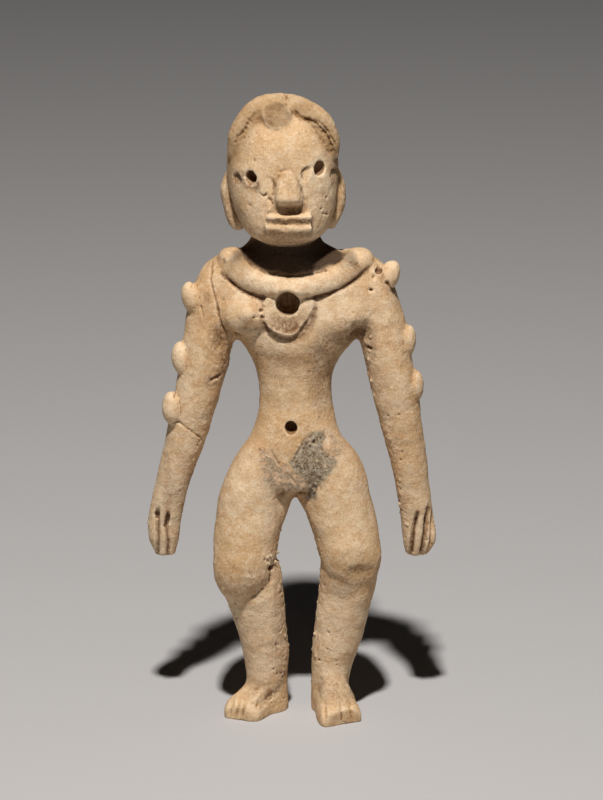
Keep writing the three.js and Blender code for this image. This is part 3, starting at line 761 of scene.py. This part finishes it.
SHOULDER_CRACK = [
    (-22.1, 131.8), (-22.5, 127.9), (-22, 125.6), (-21, 122.1), (-20.3, 118.4), (-19.6, 115.2),
    (-17.7, 111.8),
]
CRACKS = [  # line, width, depth
    (SHOULDER_CRACK, 0.42, 0.5), ([(-25.4, 120.9), (-24.5, 117.1)], 0.5, 0.3),
    ([(-19.6, 100.8), (-21.8, 99.7), (-22.8, 99.2)], 0.8, 0.9),
    ([(26, 126.6), (27.2, 125), (29.1, 123.2)], 0.6, 0.9), ([(20.9, 125.2), (22.1, 125)], 0.5, 0.6),
    ([(20.2, 108.6), (21.8, 108.3)], 0.8, 0.9),
    ([(-34.9, 85.6), (-31.9, 86.9), (-28.6, 84.6), (-25.6, 82), (-24.6, 80.2)], 0.42, 0.4),
    ([(3.1, 166.9), (5, 166.7)], 0.4, 0.25), ([(8, 148.3), (9.9, 147.3)], 0.4, 0.35),
    ([(-9.1, 154.5), (-8, 153.6), (-6.9, 154.7)], 0.6, 0.7), ([(-6.7, 153.4), (-5.2, 151.6)], 0.9, 0.6),
    ([(-4.8, 22), (-4.5, 19.4)], 0.5, 0.5), ([(14.1, 0.9), (15, 0.3)], 0.5, 0.5),
    ([(-6.2, 43), (-6.4, 40.2)], 0.6, 0.7), ([(-12.3, 45.1), (-11.2, 43.5)], 0.4, 0.3),
    ([(-13.4, 46.6), (-13.9, 47.8)], 0.4, 0.3), ([(-2.2, 70.2), (-0.8, 72.6), (2, 69)], 0.4, 0.3),
    ([(-3.3, 67.9), (-0.4, 66.9), (2.8, 65.9)], 0.7, 0.5), ([(-16.9, 31.3), (-15.8, 28.2)], 0.4, 0.3),
    ([(-38.2, 59.6), (-38.3, 56.9)], 0.8, 0.8), ([(-35, 58.9), (-35.3, 56.6), (-36, 54.7)], 0.8, 0.8),
    ([(-6.2, 80.2), (-5, 77.9), (-3.8, 76), (-2.7, 75)], 0.5, 0.4), ([(-0.2, 76.7), (3.4, 83.4)], 0.5, 0.4),
    ([(38.2, 61.6), (37.5, 60.4)], 0.5, 0.6), ([(-19.2, 133.6), (-18.9, 132.4)], 0.7, 0.3),
    ([(17, 132.6), (18.1, 131.8)], 0.9, 0.3),
]
for line, width, depth in CRACKS:
    score(line, width, depth, ragged=0.35)
lay_down(body, clay)

# The finished skin, dry and fired hard: no more is done to its shape.
# It is brought down to as many facets as it needs.

MOST_TRIANGLES = 197_000
sides_in_all = sum(face.loop_total - 2 for face in body.data.polygons)
finish_with(body, 'DECIMATE', ratio=MOST_TRIANGLES / sides_in_all)
body.vertex_groups.clear()
body.data.shade_smooth()

# What fire and time left on it, and painted light and shade: a dark grey patch low on the belly with a rosy
# one beside it, brown dirt and painted shade in the hollows, the small high places paler, pale clay and
# painted light on the upright fronts, painted shade under the jutting parts, a painted shadow over the neck,
# and clay redder in the arms and yellower in the feet.

clay, skin = take_up(body)
ends = np.empty(len(body.data.edges) * 2, np.int32)
body.data.edges.foreach_get('vertices', ends)
ends = ends.reshape(-1, 2)
either, other = np.concatenate([ends[:, 0], ends[:, 1]]), np.concatenate([ends[:, 1], ends[:, 0]])
neighbours = np.bincount(either, minlength=len(clay))


def hollow(passes):
    """How far each point lies below the skin around it, in mm."""
    even = clay.copy()
    for _ in range(passes):
        for axis in range(3):
            around = np.bincount(either, weights=even[other, axis], minlength=len(clay)) / neighbours
            even[:, axis] = 0.4 * even[:, axis] + 0.6 * around
    return np.einsum('ij,ij->i', even - clay, skin)


def inside(outline, softness):
    """1 within a drawn outline on the front, falling to 0 over its ragged edge."""
    outline = np.array(outline, float)
    spots = clay[:, [0, 2]] + 0.5 * np.stack([mottle(clay, 1.3, 1), mottle(clay, 1.3, 2)], axis=1)
    crossings, gap = np.zeros(len(clay), bool), np.full(len(clay), np.inf)
    for start, end in zip(outline, np.roll(outline, -1, axis=0)):
        if start[1] != end[1]:
            beside = start[0] + (spots[:, 1] - start[1]) / (end[1] - start[1]) * (end[0] - start[0])
            crossings ^= ((start[1] > spots[:, 1]) != (end[1] > spots[:, 1])) & (spots[:, 0] < beside)
        run = end - start
        t = np.clip((spots - start) @ run / (run @ run), 0, 1)
        gap = np.minimum(gap, np.linalg.norm(spots - start - t[:, None] * run, axis=1))
    within = np.where(crossings, gap, -gap)
    return np.clip(0.5 + within / softness, 0, 1) * (skin[:, 1] < 0)


def keep(name, amounts):
    """Holds a layer of colour on the skin, for the shader to read."""
    layer = body.data.attributes.new(name, 'FLOAT', 'POINT')
    layer.data.foreach_set('value', np.asarray(amounts, np.float32))


def places(spots):
    """Soft places added up: the middle, the reach and the strength of each."""
    return np.clip(sum(strength * ball(clay, middle, reach) for middle, reach, strength in spots), 0, 1)


def drawn(lines):
    """Ragged lines: the run, the width in mm and the strength of each."""
    layer = np.zeros(len(clay))
    for line, width, strength in lines:
        chosen, close = near(line, width, ragged=0.4)[:2]
        layer[chosen] = np.maximum(layer[chosen], strength * np.clip(2 * close, 0, 1))
    return layer


GREY_PATCH = [
    (5, 84.6), (3.6, 83.3), (2.3, 81.2), (0.9, 79.5), (-0.8, 77.2), (-2.5, 75.2), (-0.5, 76.1), (0, 73.8),
    (1.2, 72.6), (3.1, 72.6), (3.4, 70.5), (4.2, 69.2), (3.7, 65.4), (4.2, 64.5), (6.2, 65.3), (6.7, 68.1),
    (7.3, 69.7), (8.9, 71.4), (10.6, 73.8), (12.5, 76.1), (11.7, 77.4), (10.3, 78.3), (9.2, 79.6),
    (8.4, 80.7), (8.9, 82.3), (8.4, 84.8), (7, 85),
]
ROSY_PATCH = [
    (-9.1, 79.5), (-6.1, 79.7), (-3.8, 76), (-1.6, 75.5), (0, 73.8), (3.1, 72.6), (3.9, 68.5), (2.8, 65.7),
    (-3.3, 67.9), (-5.8, 68.2), (-8.6, 70.6), (-9.7, 76.4),
]
HIP_PATCH = [(8.4, 84.8), (9.2, 79.6), (12.4, 76.9), (14.5, 79.4), (11.2, 83.2)]
keep('grey', inside(GREY_PATCH, 0.7))
keep('rosy', np.maximum(inside(ROSY_PATCH, 1.6), 0.8 * inside(HIP_PATCH, 1.0)))
# how far each point lies in a hollow, or stands proud where it is less than nothing; the shader darkens the
# hollows with dirt and painted shade
for name, passes, full in [('deep', 5, 0.14), ('sunk', 36, 0.45)]:  # full is the depth in mm that counts as 1
    keep(name, np.clip(hollow(passes) / full, -1, 1))
keep('red', places([
    ((-21, 0, 108), (9, 12, 24), 0.6), ((-28, 0, 74), (9, 12, 30), 0.3),
    ((24, 0, 112), (10, 12, 22), 0.6), ((30, 0, 78), (10, 12, 30), 0.6), ((22, -6, 124), (10, 8, 8), 0.4),
    ((-20, -6, 128), (8, 8, 10), 0.4), ((12, -12, 150), (8, 8, 9), 0.3),
]))
HAIR_REACH, COLLAR_REACH = 5.2, 4.1  # mm from the middle of the roll
chosen, close = near([row[:3] for row in HAIR], HAIR_REACH)[:2]
tinted = np.zeros(len(clay))
tinted[chosen] = np.clip(2.4 * close, 0, 1)
keep('hair', tinted)
keep('yellow', places([
    ((-12, -4, 6), (12, 14, 12), 0.7), ((12, -6, 8), (12, 14, 14), 0.9), ((14, -8, 60), (14, 12, 18), 0.4),
    ((-12, -8, 58), (10, 12, 18), 0.6), ((-14, -9, 117), (6, 6, 5), 0.8), ((5, -14, 152), (12, 8, 12), 0.4),
    ((0, -8, 78), (7, 6, 6), 0.5), ((18, -8, 40), (9, 9, 14), 0.5),
]))
# pale cream clay, and painted light that brightens the cheeks, chest, collar, belly, thighs, shins, arms and
# hands
keep('pale_clay_and_painted_light', places([
    ((-3, -10, 160), (16, 14, 8), 0.3), ((-12, -12, 150), (9, 8, 12), 0.7), ((9, -12, 152), (9, 9, 16), 1.3),
    ((5, -8, 120), (24, 8, 12), 0.7), ((-7, -8, 113), (6, 6, 8), 0.8), ((7, -9, 122), (8, 6, 7), 0.6),
    ((0, -10, 127), (22, 8, 6), 0.7), ((-2, -8, 100), (7, 8, 14), 0.4), ((-9, -6, 26), (12, 14, 24), 1.3),
    ((-15, -6, 68), (9, 9, 14), 0.7), ((-15, -7, 127), (8, 8, 6), 0.5), ((-30, -2, 84), (9, 9, 40), 0.7),
    ((-5, -6, 60), (6, 12, 16), 0.8), ((10, -6, 24), (12, 14, 24), 1.3), ((15, -8, 62), (12, 10, 16), 0.8),
    ((-13, -8, 60), (10, 10, 14), 0.4), ((-35, 0, 57), (8, 10, 20), 1.2), ((32, 0, 58), (7, 10, 18), 0.9),
    ((-13.7, -7, 166.7), (2, 4, 2), 0.9), ((25, -4, 98), (8, 9, 30), 0.6), ((-16, -5, 4), (7, 9, 8), 0.2),
]))
# painted shade under the head and chin, on the lower lip, nose and pendant, down the right flank, at the ears
# and the left roll of hair, in the armpits, under the breasts and knees, at the ankles, low on the belly and
# down the inside of the left shin
painted_shade = places([
    ((-1.5, -2, 133), (15, 10, 9), 1), ((-1, -17, 142.6), (8, 5, 4.4), 0.5),
    ((-1, -9, 138.5), (12, 9, 4), 0.8), ((-1, -10.6, 116), (8, 4, 5.4), 1),
    ((9.5, -5, 103), (7, 8, 16), 0.7), ((-15, -2, 150), (4, 8, 14), 0.3), ((-14, -9, 171), (7, 6, 10), 0.35),
    ((-18, 0, 150), (4, 6, 12), 0.4), ((13, 0, 150), (4, 6, 12), 0.3), ((-13.5, -8, 41.5), (9, 8, 7), 0.4),
    ((17.5, -9, 46), (8, 8, 7), 0.5), ((11.6, -8, 40), (6, 8, 4), 0.4), ((13, -7, 9), (8, 8, 5), 0.6),
    ((-9, -6, 7), (6, 7, 4), 0.5), ((-11.5, -10, 115.2), (5, 5, 3), 0.6), ((-1.1, -18, 157), (4, 5, 6), 0.4),
    ((-20, -4, 112), (4, 7, 6), 0.8), ((17.8, -5, 113), (6, 7, 6), 0.9), ((9, -10, 110), (7, 6, 4), 0.4),
    ((2, -8, 80), (7, 6, 5), 0.3), ((11, -8, 77.5), (6, 6, 4), 0.3), ((-8, -8, 78.5), (5, 6, 4), 0.3),
    ((-3.5, -3, 26), (3, 8, 20), 0.5),
])
# painted shadow of the head over the neck and the tops of the shoulders behind the collar
neck = places([((0.2, -6, 133), (18, 13, 9), 2.5)])
# the collar's own roll is kept clear of the painted shadow and the painted shade
chosen, close = near([row[:3] for row in COLLAR + COLLAR[:1]], COLLAR_REACH)[:2]
for dark in (neck, painted_shade):
    dark[chosen] *= np.clip(1 - 4 * close, 0, 1)
# more painted shadow on the lit slope of the shoulder beside the neck on the right
neck = np.maximum(neck, places([((9.6, -3.5, 134), (5, 4, 2.8), 2.2)]))
keep('painted_neck_shadow', neck)
# the lower edge of the pendant, along which a painted shadow is drawn on the chest
PENDANT_FOOT = [
    (-8.2, 117.4), (-6.4, 114.6), (-3.6, 113), (-0.9, 112.5), (1.8, 113.1), (4.2, 115.2), (5.8, 118.4),
]
# dirt in the cracks, partings and grooves and along the rough edges, with painted shade: painted shadows
# under the collar's lower edges and the pendant's foot, and painted shade on the fronts of the lips, under
# the nose, in the eye pits, under the breasts and under the knees
keep('dirt_and_painted_shade', np.maximum(painted_shade, drawn([
    (COLLAR_EDGES[0], 0.9, 0.9), (COLLAR_EDGES[1], 0.9, 0.9), (PENDANT_FOOT, 1.4, 0.9),
    ([(-6.6, 147), (-1, 147.1), (5, 147)], 1, 0.8), ([(-7, 143.6), (-1, 143.5), (4.8, 143.6)], 1.4, 0.55),
    (RIGHT_PARTING, 0.9, 0.8), (LEFT_PARTING, 1.4, 0.3),
    ([(6, 174.2), (9.4, 170.8), (11.6, 166)], 2.2, 0.35), ([(2, 178), (3.6, 177), (5.6, 176)], 1.6, 0.5),
    ([(-4.6, 150.6), (-1, 150.6), (2.8, 150.6)], 1.6, 0.7), ([(-12.2, 157), (-10.2, 156.5)], 1.8, 0.9),
    ([(-15.6, 156.4), (-14.4, 158.4)], 1.7, 0.8), ([(11.2, 156), (11.5, 159)], 1.3, 0.5),
    ([(-20.6, 111), (-17.9, 107.4), (-19.6, 101.1), (-22.4, 99.3)], 2.4, 0.6),
    ([(17.4, 115.6), (20.2, 112.5), (21.6, 108.4)], 2.4, 0.6),
    ([(-22.1, 131.8), (-22.5, 127.9), (-21, 122.1), (-19.6, 115.2)], 0.5, 0.5),
    ([(-19.8, 133.8), (-18.6, 132.8)], 1.1, 0.5), ([(16.6, 132.8), (18.3, 131.6)], 1.3, 0.7),
    ([(23.2, 130.4), (25.9, 126.8)], 1.2, 0.5), ([(-23.4, 123.6), (-23.2, 122)], 1.2, 0.5),
    ([(-14.2, 117.2), (-12, 114.6)], 2.2, 0.35), ([(-8.9, 39), (-12, 36.6)], 1.6, 0.2),
    ([(-6.3, 45.2), (-5.8, 44.2)], 1.2, 0.8), ([(-38, 59.8), (-38, 51.6), (-38.4, 44.4)], 0.8, 0.7),
    ([(-35, 59.4), (-35.6, 54.7), (-35, 45)], 0.9, 0.7),
    ([(35, 59.8), (33.9, 54.4), (33.1, 46.9)], 0.8, 0.8),
    ([(38, 60.5), (37.3, 54.3), (36.4, 47.9)], 0.9, 0.8), ([(-28, 71), (-28.6, 65)], 1.2, 0.5),
    ([(-35.2, 76), (-34.4, 69), (-35.4, 62)], 1.7, 0.35),
    ([(14.3, 116.2), (13.6, 113.4), (11.6, 111.2)], 2.4, 0.4), ([(-2.8, 12), (-4.8, 7), (-9, 4)], 1.2, 0.6),
    ([(16, 46), (19.5, 44.6), (22, 44)], 2.4, 0.25),
])))
SCAR_EDGE, STREAK_LONG, STREAK_THIN, STREAK_SLANT = 0.3, 3, 0.8, 0.3
scar_gap = np.linalg.norm(clay - SCAR_MIDDLE, axis=1) + SCAR_EDGE * mottle(clay, 1.2, 3)
slanted = (clay[:, 2] + STREAK_SLANT * clay[:, 0]) / STREAK_THIN
streaks = mottle(np.stack([clay[:, 0] / STREAK_LONG, clay[:, 1] * 0, slanted], axis=1), 1, 4)
keep('scar', np.clip(4 * (1 - scar_gap / (SCAR_RADIUS + SCAR_EDGE)), 0, 1) * (0.72 + 0.28 * streaks))

# The fired clay itself: buff and sandy, dull, speckled with dark and pale grit.
# Each layer of colour is laid over the ones before it, from the clay out to the dirt, the painted shade and
# the painted shadow on the neck.


class Wire:
    """A socket of a shader; sums and products of wires make the nodes for them."""

    def __init__(self, tree, socket=None):
        self.tree = tree
        self.socket = socket

    def node(self, kind, settings=None, out=0, **values):
        """Any node: settings go in first, then what its sockets hold or are fed with."""
        made = self.tree.nodes.new('ShaderNode' + kind)
        for name, value in (settings or {}).items():
            setattr(made, name, value)
        for name, value in values.items():
            socket = next(s for s in made.inputs if name in (s.identifier, s.name.replace(' ', '')))
            if isinstance(value, Wire):
                self.tree.links.new(value.socket, socket)
            else:
                socket.default_value = value
        return Wire(self.tree, made.outputs[out])

    def maths(self, operation, first, second):
        return self.node('Math', {'operation': operation}, Value=first, Value_001=second)

    def __add__(self, other):
        return self.maths('ADD', self, other)

    def __rsub__(self, other):
        return self.maths('SUBTRACT', other, self)

    def __mul__(self, other):
        return self.maths('MULTIPLY', self, other)

    __radd__, __rmul__ = __add__, __mul__

    def between(self, low, high):
        """0 below low, 1 above high, and a smooth rise from one to the other."""
        smooth = {'interpolation_type': 'SMOOTHSTEP'}
        return self.node('MapRange', smooth, Value=self, FromMin=low, FromMax=high)

    def over(self, below, colour, most=1):
        """Lays a colour over what is below it, as thickly as this wire says."""
        colours = {'data_type': 'RGBA'}
        return self.node('Mix', colours, out=2, Factor_Float=self * most, A_Color=below, B_Color=colour)


def tone(red, green, blue):
    """A colour as seen on a screen, 0 to 255, turned into light."""
    return tuple(((c / 255 + 0.055) / 1.055) ** 2.4 for c in (red, green, blue)) + (1,)


def new_look(name):
    """A material, and the shader of its surface."""
    look = bpy.data.materials.new(name)
    look.use_nodes = True
    return look, look.node_tree.nodes['Principled BSDF']


clay_look, surface = new_look('fired_clay')
wires = Wire(clay_look.node_tree)
across_it = wires.node('TexCoord', out=3)


def cloud(size, detail=4, roughness=0.55):
    """Cloudy blotches of this size in mm."""
    return wires.node('TexNoise', Vector=across_it, Scale=1 / (size * MM), Detail=detail, Roughness=roughness)


def layer(name):
    return wires.node('Attribute', {'attribute_name': name}, out=2)


BUFF, SAND, CREAM = tone(208, 176, 136), tone(182, 144, 98), tone(231, 210, 180)
RUST, OCHRE, PINK, UMBER = tone(187, 143, 99), tone(204, 163, 105), tone(190, 160, 136), tone(96, 62, 34)
ASH, ASH_DARK, ASH_PALE = tone(118, 113, 99), tone(64, 62, 55), tone(166, 162, 148)
SPECK, PALE_GRIT = tone(96, 66, 40), tone(240, 226, 202)
HAIR_TONE, SCAR_TONE, NECK_SHADOW_TONE = tone(146, 114, 76), tone(107, 81, 53), tone(44, 27, 15)

broad, patches, flecks = cloud(18), cloud(3.6, 8, 0.66), cloud(1.6)
grit, fine = cloud(0.75, 3), cloud(0.32, 2)
colour = broad.between(0.4, 0.6).over(BUFF, SAND, 0.6)
colour = layer('red').over(colour, RUST, 0.75)
colour = layer('yellow').over(colour, OCHRE, 0.55)
# pale clay and painted light
colour = layer('pale_clay_and_painted_light').over(colour, CREAM, 0.6)
colour = (patches.between(0.44, 0.6) * (0.3 + 0.7 * layer('pale_clay_and_painted_light'))).over(colour, CREAM, 0.6)
colour = cloud(3.1, 8, 0.65).between(0.48, 0.6).over(colour, RUST, 0.45)
colour = layer('rosy').over(colour, PINK, 0.7)
colour = (layer('rosy') * flecks.between(0.42, 0.56)).over(colour, ASH, 0.75)
colour = cloud(7, 6, 0.6).between(0.5, 0.6).over(colour, RUST, 0.3)
colour = cloud(5, 6, 0.6).between(0.54, 0.62).over(colour, CREAM, 0.4)
ashen = flecks.between(0.44, 0.62).over(grit.between(0.38, 0.58).over(ASH, ASH_DARK, 1), ASH_PALE, 0.6)
colour = layer('grey').over(colour, ashen)
colour = fine.between(0.4, 0.56).over(colour, SAND, 0.4)
colour = cloud(0.5, 2).between(0.52, 0.64).over(colour, CREAM, 0.3)
colour = (grit.between(0.6, 0.7) * (1 - layer('pale_clay_and_painted_light') * 0.5)).over(colour, SPECK, 0.4)
colour = cloud(0.6, 3).between(0.62, 0.7).over(colour, PALE_GRIT, 0.35)
# dirt in the cracks and grooves, and painted shade under the jutting parts
colour = (layer('dirt_and_painted_shade') * (0.45 + 0.55 * grit.between(0.35, 0.6))).over(colour, UMBER, 0.85)
# hollows darker with dirt and painted shade; the small high places paler
colour = layer('deep').between(0.3, 1.0).over(colour, UMBER, 0.6)
colour = layer('sunk').between(0.3, 1.0).over(colour, UMBER, 0.45)
colour = (0 - layer('deep')).between(0.3, 1.0).over(colour, CREAM, 0.35)
colour = layer('hair').over(colour, HAIR_TONE, 0.45)
colour = layer('scar').over(colour, SCAR_TONE, 0.9)
colour = (layer('scar') * flecks.between(0.44, 0.6)).over(colour, UMBER, 0.25)
# the painted shadow over the neck
colour = layer('painted_neck_shadow').over(colour, NECK_SHADOW_TONE, 0.92)
height = fine * 0.07 + grit * 0.16 + flecks * 0.15
for name, wire in {
    'Base Color': colour, 'Roughness': 0.95 - 0.18 * patches,
    'Normal': wires.node('Bump', Strength=0.9, Distance=MM, Height=height),
}.items():
    wires.tree.links.new(wire.socket, surface.inputs[name])
surface.inputs['Specular IOR Level'].default_value = 0.25
body.data.materials.clear()
body.data.materials.append(clay_look)

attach(body, "root")
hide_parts("figurine")

# What the figure is shown on and seen by: a floor of pale paper, a soft lamp high in front, a faint one
# at the side, and a camera that looks down on it a little. None of this is part of the figure.

FLOOR_SIZE = 8
pick()
bpy.ops.mesh.primitive_plane_add(size=FLOOR_SIZE)
floor = bpy.context.object
floor.name = 'floor'
floor_look, paper = new_look('floor_paper')
paper.inputs['Base Color'].default_value = tone(182, 180, 179)
paper.inputs['Roughness'].default_value = 0.9
floor.data.materials.append(floor_look)

ELEVATION = math.radians(16)
AIM = Vector((2.4, 0, 92)) * MM + OVER_ORIGIN
DISTANCE = 1.1
PIXELS_PER_MM, PICTURE_HEIGHT, SENSOR = 3.59, 800, 36
eye = AIM + DISTANCE * Vector((0, -math.cos(ELEVATION), math.sin(ELEVATION)))
bpy.ops.object.camera_add(location=eye, rotation=(math.pi / 2 - ELEVATION, 0, 0))
camera = bpy.context.object
camera.data.lens = PIXELS_PER_MM * DISTANCE / MM * SENSOR / PICTURE_HEIGHT
camera.data.sensor_width = SENSOR
bpy.context.scene.camera = camera
LOOKED_AT = Vector((0, 0, 0.1))


def lamp(name, place, size, watts, colour):
    """A square soft light that looks at the middle of the figure."""
    towards = (LOOKED_AT - Vector(place)).to_track_quat('-Z', 'Y').to_euler()
    bpy.ops.object.light_add(type='AREA', location=place, rotation=towards)
    light = bpy.context.object
    light.name = name
    light.data.size = size
    light.data.energy = watts
    light.data.color = colour


lamp('key', (-0.045, -0.63, 1.22), 0.07, 23, (1, 0.975, 0.95))
lamp('fill', (0.7, -0.8, 0.4), 0.8, 0.12, (0.95, 0.97, 1))
bpy.context.scene.view_settings.view_transform = 'Standard'
world = bpy.data.worlds.new('room')
bpy.context.scene.world = world
world.use_nodes = True
air = world.node_tree.nodes['Background']
air.inputs['Color'].default_value = (0.8, 0.82, 0.85, 1)
air.inputs['Strength'].default_value = 0.012
